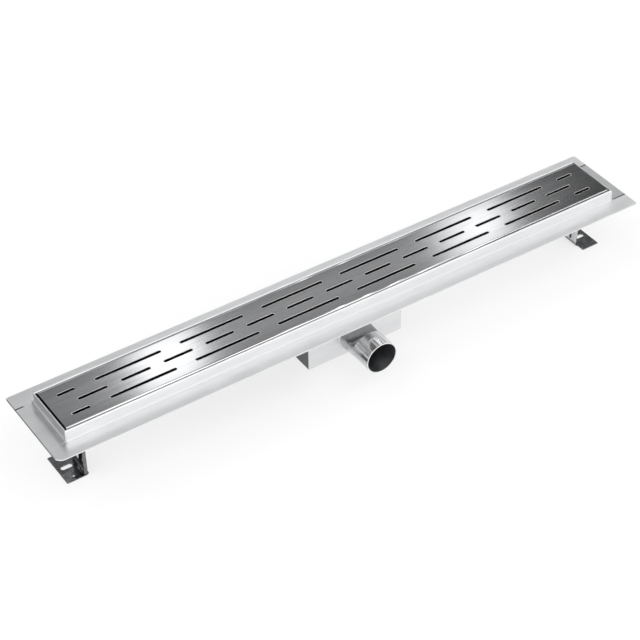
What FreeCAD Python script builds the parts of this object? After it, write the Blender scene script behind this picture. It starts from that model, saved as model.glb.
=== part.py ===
# Linear shower drain: a folded steel channel with a slotted cover, a water trap and two feet.
# Millimetres. X runs along the drain, the outlet leaves towards -Y, Z is up.
# The origin lies on the floor, midway between the screw slots of the two feet.
import FreeCAD, Part
import math
import os

V = FreeCAD.Vector
os.makedirs("parts", exist_ok=True)

# Directions of the two drawing planes: (y, z) seen along X, and (x, z) seen along Y
along_x = FreeCAD.Rotation(V(0, 1, 0), V(0, 0, 1), V(1, 0, 0), "XYZ")
along_y = FreeCAD.Rotation(V(1, 0, 0), 90)
# How far a cut runs past the faces that it opens
overrun = 1.0

# Channel: the visible rim, the tile flange round it and the trough below
overall_height = 84.0
rim_length = 700.0
rim_width = 70.0
rim_height = 13.5
flange_width = 21.0
flange_corner_radius = 2.5
flange_front_left_radius = 9.0
sheet = 1.2
hem_gap = 0.3
flange_bend_radius = 3.0
seam_gap = 0.4
weld_gap = 0.05
wall_lap = 2.0
trough_depth_ends = 24.0
trough_depth_middle = 30.0
trough_level_length = 150.0
trough_bend_radius = 2.4
end_plate_gap = 1.0

# Cover: one folded strip with three rows of slots, pushed against the right end of the rim
cover_sheet = 1.5
cover_side_gap = 0.3
cover_left_gap = 2.4
cover_right_gap = 1.2
cover_bend_radius = 2.5
cover_skirt = 8.0
slot_width = 3.6
slot_end_flats = 4
row_spacing = 16.2
long_slot_length = 77.0
long_slot_pitch = 100.0
long_slot_margin = 45.0
short_slot_length = 20.5
short_slot_inset = 28.3
middle_slot_length = 34.0
middle_slot_pitch = 50.0

# Bridges under the cover, each on two rubber shoes
outer_bridge_inset = 60.0
inner_bridge_place = 120.0
bridge_width = 12.0
bridge_span = 46.0
bridge_bend_radius = 2.0
shoe_wall = 2.2
shoe_floor = 2.5
shoe_grip = 4.0
shoe_clearance = 0.1

# Trap box and its outlet
trap_length = 121.0
trap_width = 60.0
trap_underside = 13.5
trap_bend_radius = 2.0
drain_hole_length = 104.0
drain_hole_width = 44.0
drain_hole_radius = 6.0
outlet_diameter = 38.0
outlet_wall = 1.2
outlet_axis_height = 38.5
outlet_round_length = 23.0
outlet_shoulder_length = 3.5
outlet_flat_length = 23.5
outlet_flat_top = 43.0
outlet_flat_width = 41.0
outlet_corner_radius = 3.0

# Lift-out water trap: a sealed plate with a dip tube, and a hair strainer in it
gasket_thickness = 1.5
gasket_margin = 4.0
insert_thickness = 2.0
insert_locating_depth = 5.0
insert_locating_gap = 0.6
dip_tube_diameter = 36.0
dip_tube_wall = 2.0
dip_tube_clearance = 6.0
strainer_gap = 0.4
strainer_wall = 1.2
strainer_lip = 5.0
strainer_depth = 15.0
strainer_hole_diameter = 5.5
strainer_hole_ring = 8.5
strainer_hole_count = 6
strainer_grip_diameter = 5.0
strainer_grip_height = 9.0

# Feet: slotted angle brackets, each clamped by one bolt to a hanger under the trough
foot_sheet = 1.5
foot_bend_radius = 1.5
foot_leg_inset = 26.0
foot_length = 25.0
foot_width = 43.4
foot_notch = 10.0
foot_leg_height = 46.0
foot_leg_corner = 4.0
foot_lip = 5.0
screw_slot_length = 13.0
screw_slot_width = 6.0
screw_slot_offset = 14.5
nail_hole_diameter = 3.0
nail_hole_offset = 15.7
bolt_diameter = 6.0
bolt_height = 26.0
bolt_clearance = 0.3
bolt_head_flats = 10.0
bolt_head_height = 4.0
bolt_end_length = 4.0
nut_height = 5.0
thread_gap = 0.05
washer_diameter = 12.0
washer_thickness = 1.2
clamp_gap = 0.1
leg_slot_low_end = 5.5
height_travel_down = 11.5
hanger_sheet = 1.5
hanger_width = 24.0
hanger_flange = 16.0
hanger_bend_radius = 2.0
hanger_margin = 7.0

# Levels and half sizes worked out from the values above
half_length = rim_length / 2
half_width = rim_width / 2
flange_top = overall_height - rim_height
outer_wall_middle = half_width - sheet / 2
inner_wall_middle = outer_wall_middle - sheet - hem_gap
inner_half_width = inner_wall_middle - sheet / 2
inner_half_length = half_length - sheet
flange_half_length = half_length + flange_width
flange_half_width = half_width + flange_width
trough_floor_middle = overall_height - trough_depth_middle + sheet
trough_floor_ends = overall_height - trough_depth_ends + sheet
cover_start = cover_left_gap - inner_half_length
cover_end = inner_half_length - cover_right_gap
long_slot_run = rim_length - 2 * long_slot_margin - long_slot_length
long_slot_count = int(long_slot_run / long_slot_pitch) + 1
middle_slot_count = 2 * long_slot_count + 1
outer_bridge_place = half_length - outer_bridge_inset
bridge_places = (-outer_bridge_place, -inner_bridge_place, inner_bridge_place, outer_bridge_place)
cover_underside = overall_height - cover_sheet
cover_skirt_end = overall_height - cover_skirt
wall_joint_level = flange_top - sheet - wall_lap
trap_top = overall_height - trough_depth_middle
trap_floor = trap_underside + sheet
trap_front = -trap_width / 2
insert_underside = trough_floor_middle + gasket_thickness
insert_top = insert_underside + insert_thickness
foot_leg_place = half_length - foot_leg_inset
screw_slot_place = foot_leg_place + screw_slot_offset


def trough_floor(x):
    """Inside height of the trough floor: level over the trap, rising evenly to both ends."""
    level_end = trough_level_length / 2
    rise = (trough_floor_ends - trough_floor_middle) / (half_length - level_end)
    return trough_floor_middle + max(abs(x) - level_end, 0.0) * rise


def bent_side(points, radii, offset):
    """Edges of one side of a folded strip: straight runs joined by arcs round each bend."""
    edges = []
    start = None
    for i in range(len(points) - 1):
        along = (points[i + 1] - points[i]).normalize()
        side = V(-along.y, along.x, 0) * offset
        if start is None:
            start = points[i] + side
        if i == len(points) - 2:
            edges.append(Part.LineSegment(start, points[i + 1] + side).toShape())
            break
        following = (points[i + 2] - points[i + 1]).normalize()
        turn = math.atan2(along.x * following.y - along.y * following.x, along.dot(following))
        radius = radii[i]
        setback = radius * math.tan(abs(turn) / 2)
        left = math.copysign(1.0, turn)
        tangent = points[i + 1] - along * setback
        centre = tangent + V(-along.y, along.x, 0) * radius * left
        bend_radius = radius - offset * left
        from_centre = V(along.y, -along.x, 0) * left
        to_centre = V(following.y, -following.x, 0) * left
        arc_start = centre + from_centre * bend_radius
        arc_end = centre + to_centre * bend_radius
        arc_middle = centre + (from_centre + to_centre).normalize() * bend_radius
        if (arc_start - start).Length > 1e-6:
            edges.append(Part.LineSegment(start, arc_start).toShape())
        edges.append(Part.Arc(arc_start, arc_middle, arc_end).toShape())
        start = arc_end
    return edges


def folded_strip(points, radii, thickness):
    """Face of a folded strip whose middle line runs through the points, bent at each corner."""
    corners = [V(*point, 0) for point in points]
    left = bent_side(corners, radii, thickness / 2)
    right = bent_side(corners, radii, -thickness / 2)
    first = Part.LineSegment(left[0].Vertexes[0].Point, right[0].Vertexes[0].Point).toShape()
    last = Part.LineSegment(left[-1].Vertexes[-1].Point, right[-1].Vertexes[-1].Point).toShape()
    return Part.Face(Part.Wire(Part.__sortEdges__(left + right + [first, last])))


def across(face, x0, x1, rise=0.0):
    """Extrude a face drawn as (y, z) along X, falling or rising by the given height."""
    placed = face.copy()
    placed.Placement = FreeCAD.Placement(V(x0, 0, 0), along_x)
    return placed.extrude(V(x1 - x0, 0, rise))


def sideways(face, y0, y1):
    """Extrude a face drawn as (x, z) along Y."""
    placed = face.copy()
    placed.Placement = FreeCAD.Placement(V(0, y0, 0), along_y)
    return placed.extrude(V(0, y1 - y0, 0))


def block(x0, x1, y0, y1, z0, z1):
    return Part.makeBox(x1 - x0, y1 - y0, z1 - z0, V(x0, y0, z0))


def low_edges(box):
    """The four edges round the bottom of a box."""
    return [e for e in box.Edges if e.BoundBox.ZMax < box.BoundBox.ZMin + 1e-3]


def rounded_wire(length, width, radius, height):
    """Closed rectangle about the Z axis with round corners, at the given height."""
    x, y, r = length / 2, width / 2, radius
    corners = []
    diagonal = r * (1 - math.sqrt(0.5))
    for sx, sy in ((1, -1), (1, 1), (-1, 1), (-1, -1)):
        on_end = V(sx * x, sy * (y - r), height)
        on_side = V(sx * (x - r), sy * y, height)
        middle = V(sx * (x - diagonal), sy * (y - diagonal), height)
        corners.append((on_end, middle, on_side) if sx * sy > 0 else (on_side, middle, on_end))
    edges = []
    for i, corner in enumerate(corners):
        following = corners[(i + 1) % len(corners)]
        edges.append(Part.Arc(*corner).toShape())
        edges.append(Part.LineSegment(corner[-1], following[0]).toShape())
    return Part.Wire(edges)


def rounded_slab(length, width, radius, z0, z1):
    """Plate about the Z axis with round corners."""
    return Part.Face(rounded_wire(length, width, radius, z0)).extrude(V(0, 0, z1 - z0))


def slot_cutter(x, y, length, width, z0, z1):
    """Cutter for a slot along X with round ends."""
    half = (length - width) / 2
    slot = block(x - half, x + half, y - width / 2, y + width / 2, z0, z1)
    for end in (x - half, x + half):
        slot = slot.fuse(Part.makeCylinder(width / 2, z1 - z0, V(end, y, z0)))
    return slot.removeSplitter()


def cover_slot(x, y, length):
    """Cutter for one slot of the cover; its round ends are stepped in a few flats, to stay light."""
    radius = slot_width / 2
    half = length / 2 - radius
    low = cover_underside - overrun
    outline = []
    for centre, start in ((x + half, -90), (x - half, 90)):
        for step in range(slot_end_flats + 1):
            angle = math.radians(start + 180 * step / slot_end_flats)
            outline.append(V(centre + radius * math.cos(angle), y + radius * math.sin(angle), low))
    outline.append(outline[0])
    return Part.Face(Part.makePolygon(outline)).extrude(V(0, 0, cover_sheet + 2 * overrun))


def hexagon(flats, height, x, y, z):
    """Hexagonal prism along X."""
    radius = flats / math.sqrt(3)
    corners = [V(x, y + radius * math.cos(a), z + radius * math.sin(a))
               for a in (math.radians(60 * i + 30) for i in range(7))]
    return Part.Face(Part.makePolygon(corners)).extrude(V(height, 0, 0))


def trough_section(floor, top):
    """Face of the trough's open inside: straight walls, bent corners and a flat floor."""
    w, r = inner_half_width, trough_bend_radius
    diagonal = r * (1 - math.sqrt(0.5))
    edges = [
        Part.LineSegment(V(w, top, 0), V(w, floor + r, 0)).toShape(),
        Part.Arc(V(w, floor + r, 0), V(w - diagonal, floor + diagonal, 0), V(w - r, floor, 0)).toShape(),
        Part.LineSegment(V(w - r, floor, 0), V(r - w, floor, 0)).toShape(),
        Part.Arc(V(r - w, floor, 0), V(diagonal - w, floor + diagonal, 0), V(-w, floor + r, 0)).toShape(),
        Part.LineSegment(V(-w, floor + r, 0), V(-w, top, 0)).toShape(),
        Part.LineSegment(V(-w, top, 0), V(w, top, 0)).toShape(),
    ]
    return Part.Face(Part.Wire(edges))


def make_channel_body():
    """Long sheet: tile flanges, hemmed rim, trough walls and the floor that falls to the trap."""
    hem_level = overall_height - sheet / 2
    hem_radius = (sheet + hem_gap) / 2
    side = folded_strip(
        [(flange_half_width, flange_top - sheet / 2), (outer_wall_middle, flange_top - sheet / 2),
         (outer_wall_middle, hem_level), (inner_wall_middle, hem_level),
         (inner_wall_middle, wall_joint_level)],
        [flange_bend_radius + sheet / 2, hem_radius, hem_radius], sheet)
    body = across(side, -half_length, half_length)
    body = body.fuse(body.mirror(V(0, 0, 0), V(0, 1, 0)))

    middle = trough_floor_middle - sheet / 2
    wall_top = wall_joint_level + trough_depth_middle
    trough = folded_strip(
        [(-inner_wall_middle, wall_top), (-inner_wall_middle, middle),
         (inner_wall_middle, middle), (inner_wall_middle, wall_top)],
        [trough_bend_radius + sheet / 2] * 2, sheet)
    level_end = trough_level_length / 2
    rise = trough_floor_ends - trough_floor_middle
    runs = [across(trough, -level_end, level_end),
            across(trough, level_end, half_length, rise),
            across(trough, -level_end, -half_length, rise)]
    below = block(-half_length, half_length, -half_width, half_width, 0, wall_joint_level)
    for run in runs:
        body = body.fuse(run.common(below))

    for end in (-1, 1):
        for side in (-1, 1):
            x0, x1 = sorted((end * half_length, end * flange_half_length))
            y0, y1 = sorted((side * half_width, side * flange_half_width))
            body = body.fuse(block(x0, x1, y0, y1, flange_top - sheet, flange_top))
    body = body.removeSplitter()
    for end in (-1, 1):
        for side in (-1, 1):
            front_left = end < 0 and side < 0
            radius = flange_front_left_radius if front_left else flange_corner_radius
            corner = [e for e in body.Edges
                      if abs(e.CenterOfMass.x - end * flange_half_length) < 1e-6
                      and abs(e.CenterOfMass.y - side * flange_half_width) < 1e-6]
            body = body.makeFillet(radius, corner)
    hole = rounded_slab(drain_hole_length, drain_hole_width, drain_hole_radius,
                        trough_floor_middle - 2 * sheet, trough_floor_middle + sheet)
    return body.cut(hole)


def make_end_wall(side):
    """End of the rim: an upstand between the side walls, bent out into the end flange."""
    face = folded_strip(
        [(half_length - sheet / 2, overall_height), (half_length - sheet / 2, flange_top - sheet / 2),
         (flange_half_length, flange_top - sheet / 2)],
        [flange_bend_radius + sheet / 2], sheet)
    reach = half_width - seam_gap
    wall = sideways(face, -reach, reach)
    inside = inner_half_width - weld_gap
    for edge in (-1, 1):
        y0, y1 = sorted((edge * inside, edge * half_width))
        wall = wall.cut(block(0, half_length + seam_gap / 2, y0, y1, 0, overall_height))
    return wall if side > 0 else wall.mirror(V(0, 0, 0), V(1, 0, 0))


def make_end_plate(side):
    """Plate that closes the trough, lapped behind the end wall below the cover's skirts."""
    outer = half_length - sheet
    top = cover_skirt_end - end_plate_gap
    floor = trough_floor(half_length) + weld_gap
    plate = across(trough_section(floor, top), outer - sheet, outer)
    return plate if side > 0 else plate.mirror(V(0, 0, 0), V(1, 0, 0))


def make_cover():
    """Slotted cover: a strip with both long sides folded down."""
    half = inner_half_width - cover_side_gap
    middle = half - cover_sheet / 2
    level = overall_height - cover_sheet / 2
    face = folded_strip(
        [(-middle, cover_skirt_end), (-middle, level), (middle, level), (middle, cover_skirt_end)],
        [cover_bend_radius - cover_sheet / 2] * 2, cover_sheet)
    cover = across(face, cover_start, cover_end)
    slots = []
    for row in (-row_spacing, row_spacing):
        for i in range(long_slot_count):
            place = (i - (long_slot_count - 1) / 2) * long_slot_pitch
            slots.append(cover_slot(place, row, long_slot_length))
        for place in (short_slot_inset - half_length, half_length - short_slot_inset):
            slots.append(cover_slot(place, row, short_slot_length))
    for i in range(middle_slot_count):
        place = (i - (middle_slot_count - 1) / 2) * middle_slot_pitch
        slots.append(cover_slot(place, 0.0, middle_slot_length))
    return cover.cut(Part.makeCompound(slots))


def bridge_leg_end(x):
    """Height at which a bridge's legs end, on the floor of their rubber shoes."""
    return shoe_base(x) + shoe_floor


def shoe_base(x):
    """Underside of the shoes: on the highest point of the sloping trough floor below them."""
    half = bridge_width / 2 + shoe_wall
    return max(trough_floor(x - half), trough_floor(x + half))


def make_bridge(x):
    """Bridge welded under the cover: a flat strip bent down at both ends."""
    middle = bridge_span / 2 - sheet / 2
    level = cover_underside - sheet / 2
    end = bridge_leg_end(x)
    face = folded_strip([(-middle, end), (-middle, level), (middle, level), (middle, end)],
                        [bridge_bend_radius + sheet / 2] * 2, sheet)
    return across(face, x - bridge_width / 2, x + bridge_width / 2)


def make_shoe(x, side):
    """Rubber shoe pushed over the end of a bridge leg, so that the cover doesn't rattle."""
    middle = side * (bridge_span / 2 - sheet / 2)
    half_x = bridge_width / 2 + shoe_wall
    half_y = sheet / 2 + shoe_wall
    base = shoe_base(x)
    top = base + shoe_floor + shoe_grip
    shoe = block(x - half_x, x + half_x, middle - half_y, middle + half_y, base, top)
    pocket_x = bridge_width / 2 + shoe_clearance
    pocket_y = sheet / 2 + shoe_clearance
    pocket = block(x - pocket_x, x + pocket_x, middle - pocket_y, middle + pocket_y,
                   base + shoe_floor, top + overrun)
    return shoe.cut(pocket)


def make_trap_box():
    """Box welded under the trough, open at the top and at the outlet."""
    outer = block(-trap_length / 2, trap_length / 2, trap_front, -trap_front, trap_underside, trap_top)
    inner = block(sheet - trap_length / 2, trap_length / 2 - sheet, trap_front + sheet, -trap_front - sheet,
                  trap_floor, trap_top)
    outer = outer.makeFillet(trap_bend_radius + sheet, low_edges(outer))
    inner = inner.makeFillet(trap_bend_radius, low_edges(inner))
    way_out = pressed_run(outlet_wall)
    way_out.translate(V(0, 2 * sheet, 0))
    return outer.cut(inner).cut(way_out)


def pressed_run(inset):
    """Pressed stretch of the outlet, filled: a half cone below, tapered sides and a flat top."""
    length = outlet_flat_length
    y_round = trap_front - length
    half = outlet_flat_width / 2 - inset
    radius = outlet_diameter / 2 - inset
    axis = outlet_axis_height
    cone = Part.makeCone(half, radius, length, V(0, trap_front, axis), V(0, -1, 0))
    below = block(-half, half, y_round, trap_front, axis - half, axis)
    plan = [V(-half, trap_front, axis), V(half, trap_front, axis), V(radius, y_round, axis),
            V(-radius, y_round, axis), V(-half, trap_front, axis)]
    top = outlet_flat_top - inset
    upper = Part.Face(Part.makePolygon(plan)).extrude(V(0, 0, top - axis))
    corners = [e for e in upper.Edges
               if e.BoundBox.YLength > e.BoundBox.XLength and e.CenterOfMass.z > top - 1e-6]
    upper = upper.makeFillet(outlet_corner_radius - inset, corners)
    return cone.common(below).fuse(upper)


def round_run(inset):
    """Round stretch of the outlet, filled, with the slanting shoulder where the flat top ends."""
    y_flat = trap_front - outlet_flat_length
    crown = outlet_axis_height + outlet_diameter / 2
    slope = math.atan2(crown - outlet_flat_top, outlet_shoulder_length)
    y_corner = y_flat - inset * math.tan(slope / 2)
    low = outlet_flat_top - inset
    high = crown + overrun
    y_high = y_corner - (high - low) / math.tan(slope)
    tube = Part.makeCylinder(outlet_diameter / 2 - inset, outlet_shoulder_length + outlet_round_length,
                             V(0, y_flat, outlet_axis_height), V(0, -1, 0))
    side = [V(0, y_flat + overrun, low), V(0, y_corner, low), V(0, y_high, high),
            V(0, y_flat + overrun, high), V(0, y_flat + overrun, low)]
    above = Part.Face(Part.makePolygon(side)).extrude(V(outlet_diameter, 0, 0))
    above.translate(V(-outlet_diameter / 2, 0, 0))
    return tube.cut(above)


def make_outlet_pipe():
    """Outlet tube, its top pressed flat to pass under the flange, its end left round."""
    outer = pressed_run(0).fuse(round_run(0))
    bore = pressed_run(outlet_wall).fuse(round_run(outlet_wall))
    return outer.cut(bore).removeSplitter()


def make_trap_gasket():
    """Flat rubber frame between the trough floor and the trap plate."""
    length = drain_hole_length + 2 * gasket_margin
    width = drain_hole_width + 2 * gasket_margin
    frame = rounded_slab(length, width, drain_hole_radius + gasket_margin,
                         trough_floor_middle, insert_underside)
    hole = rounded_slab(drain_hole_length, drain_hole_width, drain_hole_radius,
                        trough_floor_middle - overrun, insert_underside + overrun)
    return frame.cut(hole)


def make_trap_insert():
    """Moulded plate with a locating rib round its underside and a tube that dips into the water."""
    length = drain_hole_length + 2 * gasket_margin
    width = drain_hole_width + 2 * gasket_margin
    plate = rounded_slab(length, width, drain_hole_radius + gasket_margin, insert_underside, insert_top)
    gap = insert_locating_gap
    rib_low = insert_underside - insert_locating_depth
    rib_length = drain_hole_length - 2 * gap
    rib_width = drain_hole_width - 2 * gap
    rib = rounded_slab(rib_length, rib_width, drain_hole_radius - gap, rib_low, insert_underside)
    hollow = rounded_slab(rib_length - 2 * insert_thickness, rib_width - 2 * insert_thickness,
                          drain_hole_radius - gap - insert_thickness, rib_low, insert_underside)
    tube_low = trap_floor + dip_tube_clearance
    tube = Part.makeCylinder(dip_tube_diameter / 2, insert_underside - tube_low, V(0, 0, tube_low))
    bore = Part.makeCylinder(dip_tube_diameter / 2 - dip_tube_wall, insert_top - tube_low + 2 * overrun,
                             V(0, 0, tube_low - overrun))
    insert = plate.fuse(rib.cut(hollow)).fuse(tube).cut(bore)
    return insert.removeSplitter()


def make_hair_strainer():
    """Turned cup that hangs in the dip tube by its lip, with a ring of holes and a grip."""
    outer = dip_tube_diameter / 2 - dip_tube_wall - strainer_gap
    lip = outer + strainer_lip
    wall = strainer_wall
    low = insert_top - strainer_depth
    grip = strainer_grip_diameter / 2
    grip_top = low + wall + strainer_grip_height
    outline = [V(0, 0, low), V(outer, 0, low), V(outer, 0, insert_top), V(lip, 0, insert_top),
               V(lip, 0, insert_top + wall), V(outer - wall, 0, insert_top + wall),
               V(outer - wall, 0, low + wall), V(grip, 0, low + wall), V(grip, 0, grip_top),
               V(0, 0, grip_top), V(0, 0, low)]
    cup = Part.Face(Part.makePolygon(outline)).revolve(V(0, 0, 0), V(0, 0, 1), 360)
    holes = []
    for i in range(strainer_hole_count):
        angle = 2 * math.pi * i / strainer_hole_count
        x, y = strainer_hole_ring * math.cos(angle), strainer_hole_ring * math.sin(angle)
        holes.append(Part.makeCylinder(strainer_hole_diameter / 2, wall + 2 * overrun,
                                       V(x, y, low - overrun)))
    return cup.cut(Part.makeCompound(holes))


def turned(shape, side):
    """The right foot's piece as it is, or turned half round for the left foot."""
    if side > 0:
        return shape
    piece = shape.copy()
    piece.rotate(V(0, 0, 0), V(0, 0, 1), 180)
    return piece


def make_foot_bracket(side):
    """Angle bracket: a base with a screw slot, a slotted leg and a stiffening lip along the leg."""
    leg_middle = foot_leg_place + foot_sheet / 2
    half = foot_width / 2
    bend = foot_bend_radius + foot_sheet
    angle = folded_strip(
        [(leg_middle, foot_leg_height), (leg_middle, foot_sheet / 2),
         (foot_leg_place + foot_length, foot_sheet / 2)],
        [foot_bend_radius + foot_sheet / 2], foot_sheet)
    bracket = sideways(angle, -half, half)
    lip = folded_strip(
        [(leg_middle, 0), (leg_middle, half - foot_sheet / 2),
         (foot_leg_place + foot_lip, half - foot_sheet / 2)],
        [foot_bend_radius + foot_sheet / 2], foot_sheet)
    lip = lip.extrude(V(0, 0, foot_leg_height - bend))
    lip.translate(V(0, 0, bend))
    x0 = foot_leg_place - overrun
    x1 = foot_leg_place + bend
    top = foot_leg_height + overrun
    bracket = bracket.cut(block(x0, x1, half - bend, half + overrun, bend, top))
    bracket = bracket.fuse(lip).removeSplitter()
    bracket = bracket.cut(block(x0, x1, -half - overrun, foot_notch - half, -overrun, top))
    corner = [e for e in bracket.Edges
              if abs(e.CenterOfMass.z - foot_leg_height) < 1e-6
              and abs(e.CenterOfMass.y - foot_notch + half) < 1e-6]
    bracket = bracket.makeFillet(foot_leg_corner, corner)
    bracket = bracket.cut(slot_cutter(screw_slot_place, 0, screw_slot_length, screw_slot_width,
                                      -overrun, foot_sheet + overrun))
    depth = foot_sheet + 2 * overrun
    nail_hole = Part.makeCylinder(nail_hole_diameter / 2, depth,
                                  V(screw_slot_place, nail_hole_offset, -overrun))
    radius = bolt_diameter / 2 + bolt_clearance
    low = leg_slot_low_end + radius
    high = bolt_height + height_travel_down
    slot = block(x0, x0 + depth, -radius, radius, low, high)
    for height in (low, high):
        slot = slot.fuse(Part.makeCylinder(radius, depth, V(x0, 0, height), V(1, 0, 0)))
    return turned(bracket.cut(nail_hole).cut(slot), side)


def make_foot_hanger(side):
    """Angle welded under the trough, which carries the bolt of the foot."""
    face_x = foot_leg_place - clamp_gap
    leg_x = face_x - hanger_sheet / 2
    flange_end = face_x - hanger_flange
    top_right = trough_floor(face_x) - sheet
    top_left = trough_floor(flange_end) - sheet
    upright_low = bolt_height - hanger_margin
    level = min(top_left, top_right) - hanger_sheet / 2
    face = folded_strip([(leg_x, upright_low), (leg_x, level), (flange_end, level)],
                        [hanger_bend_radius + hanger_sheet / 2], hanger_sheet)
    hanger = sideways(face, -hanger_width / 2, hanger_width / 2)
    hole = Part.makeCylinder(bolt_diameter / 2 + bolt_clearance, hanger_sheet + 2 * overrun,
                             V(face_x - hanger_sheet - overrun, 0, bolt_height), V(1, 0, 0))
    return turned(hanger.cut(hole), side)


def at_both_feet(shape):
    """The right foot's fasteners and, half round from them, the left foot's."""
    return Part.makeCompound(shape.Solids + turned(shape, -1).Solids)


def washer(x):
    """Plain washer lying against the plane x, towards +X."""
    ring = Part.makeCylinder(washer_diameter / 2, washer_thickness, V(x, 0, bolt_height), V(1, 0, 0))
    hole = Part.makeCylinder(bolt_diameter / 2 + bolt_clearance, washer_thickness,
                             V(x, 0, bolt_height), V(1, 0, 0))
    return ring.cut(hole)


def clamp_planes():
    """Planes along X where the head, the two washers and the nut bear."""
    head_washer = foot_leg_place + foot_sheet + clamp_gap
    nut_washer = foot_leg_place - clamp_gap - hanger_sheet - washer_thickness
    return head_washer, nut_washer


def make_foot_bolts():
    """Hexagon bolts through the legs and the hangers, their heads on the outer side."""
    head_washer, nut_washer = clamp_planes()
    head_x = head_washer + washer_thickness
    head = hexagon(bolt_head_flats, bolt_head_height, head_x, 0, bolt_height)
    end_x = nut_washer - nut_height - bolt_end_length
    shank = Part.makeCylinder(bolt_diameter / 2, head_x - end_x, V(end_x, 0, bolt_height), V(1, 0, 0))
    return at_both_feet(head.fuse(shank).removeSplitter())


def make_foot_nuts():
    """Hexagon nuts against the hangers' washers."""
    nut_washer = clamp_planes()[1]
    nut = hexagon(bolt_head_flats, -nut_height, nut_washer, 0, bolt_height)
    hole = Part.makeCylinder(bolt_diameter / 2 + thread_gap, nut_height + 2 * overrun,
                             V(nut_washer - nut_height - overrun, 0, bolt_height), V(1, 0, 0))
    return at_both_feet(nut.cut(hole))


def make_foot_washers():
    """The four equal washers: under the bolt heads and under the nuts."""
    return at_both_feet(Part.makeCompound([washer(x) for x in clamp_planes()]))


nodes = {
    "channel_body": make_channel_body(),
    "cover": make_cover(),
    "trap_box": make_trap_box(),
    "outlet_pipe": make_outlet_pipe(),
    "trap_gasket": make_trap_gasket(),
    "trap_insert": make_trap_insert(),
    "hair_strainer": make_hair_strainer(),
    "foot_bolts": make_foot_bolts(),
    "foot_nuts": make_foot_nuts(),
    "foot_washers": make_foot_washers(),
}
for name, side in (("left", -1), ("right", 1)):
    nodes["end_wall_" + name] = make_end_wall(side)
    nodes["end_plate_" + name] = make_end_plate(side)
    nodes["foot_bracket_" + name] = make_foot_bracket(side)
    nodes["foot_hanger_" + name] = make_foot_hanger(side)
for number, x in enumerate(bridge_places, 1):
    nodes["cover_bridge_%d" % number] = make_bridge(x)
    for name, side in (("front", -1), ("back", 1)):
        nodes["bridge_shoe_%d_%s" % (number, name)] = make_shoe(x, side)

for name, shape in nodes.items():
    shape.exportStep("parts/%s.step" % name)
    print(name, len(shape.Solids), round(shape.Volume), shape.isValid())
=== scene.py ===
# Linear shower drain: finishes, welds, fasteners, floor, lights and camera round the fixed frame
import math
import bmesh
import bpy
import numpy as np
from mathutils import Matrix, Vector
from mathutils.geometry import delaunay_2d_cdt


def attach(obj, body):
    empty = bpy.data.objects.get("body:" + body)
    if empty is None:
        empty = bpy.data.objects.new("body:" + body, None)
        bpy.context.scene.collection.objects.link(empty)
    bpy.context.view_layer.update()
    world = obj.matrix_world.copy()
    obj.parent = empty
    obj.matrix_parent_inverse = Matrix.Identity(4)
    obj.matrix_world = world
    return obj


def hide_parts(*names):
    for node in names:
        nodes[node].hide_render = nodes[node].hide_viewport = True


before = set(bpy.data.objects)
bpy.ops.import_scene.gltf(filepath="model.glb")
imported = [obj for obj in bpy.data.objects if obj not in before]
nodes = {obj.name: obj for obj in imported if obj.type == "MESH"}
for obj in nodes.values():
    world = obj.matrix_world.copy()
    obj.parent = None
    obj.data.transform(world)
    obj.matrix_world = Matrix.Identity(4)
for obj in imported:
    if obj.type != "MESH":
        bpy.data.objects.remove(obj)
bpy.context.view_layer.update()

mm = 0.001
fullTurn = 2 * math.pi

print("camera")
cameraView = {
    "place": (-0.90168, -1.33007, 1.39785),
    "forward": (0.4197, 0.637, -0.6466),
    "rollDegrees": -0.73,
    "focalPixels": 1941,
    "framePixels": 640,
    "sensorMillimetres": 36,
    "nearest": 0.05,
    "farthest": 50,
}


def makeCamera(view):
    data = bpy.data.cameras.new("camera")
    data.sensor_width = view["sensorMillimetres"]
    data.lens = view["focalPixels"] * view["sensorMillimetres"] / view["framePixels"]
    data.clip_start = view["nearest"]
    data.clip_end = view["farthest"]
    forward = Vector(view["forward"]).normalized()
    level = forward.cross(Vector((0, 0, 1))).normalized()
    roll = Matrix.Rotation(math.radians(view["rollDegrees"]), 3, -forward)
    right = roll @ level
    up = right.cross(forward)
    camera = bpy.data.objects.new("camera", data)
    turned = Matrix((right, up, -forward)).transposed().to_4x4()
    camera.matrix_world = Matrix.Translation(view["place"]) @ turned
    bpy.context.scene.collection.objects.link(camera)
    bpy.context.scene.camera = camera


makeCamera(cameraView)

print("shader groups")


def newGroup(name, inputs, outputs):
    # a shader node group with named sockets: (name, kind, value) in, (name, kind) out
    group = bpy.data.node_groups.new(name, "ShaderNodeTree")
    for title, kind, value in inputs:
        socket = group.interface.new_socket(title, in_out="INPUT", socket_type="NodeSocket" + kind)
        if value is not None:
            socket.default_value = value
    for title, kind in outputs:
        group.interface.new_socket(title, in_out="OUTPUT", socket_type="NodeSocket" + kind)
    return group, group.nodes.new("NodeGroupInput"), group.nodes.new("NodeGroupOutput")


def mathNode(tree, operation, first, second=None):
    node = tree.nodes.new("ShaderNodeMath")
    node.operation = operation
    for i, value in enumerate((first, second)):
        if value is None:
            continue
        if isinstance(value, (int, float)):
            node.inputs[i].default_value = value
        else:
            tree.links.new(value, node.inputs[i])
    return node.outputs[0]


def offFrom(tree, value, place):
    # the distance of a value from a place
    return mathNode(tree, "ABSOLUTE", mathNode(tree, "SUBTRACT", value, place))


def product(tree, first, second):
    return mathNode(tree, "MULTIPLY", first, second)


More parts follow.
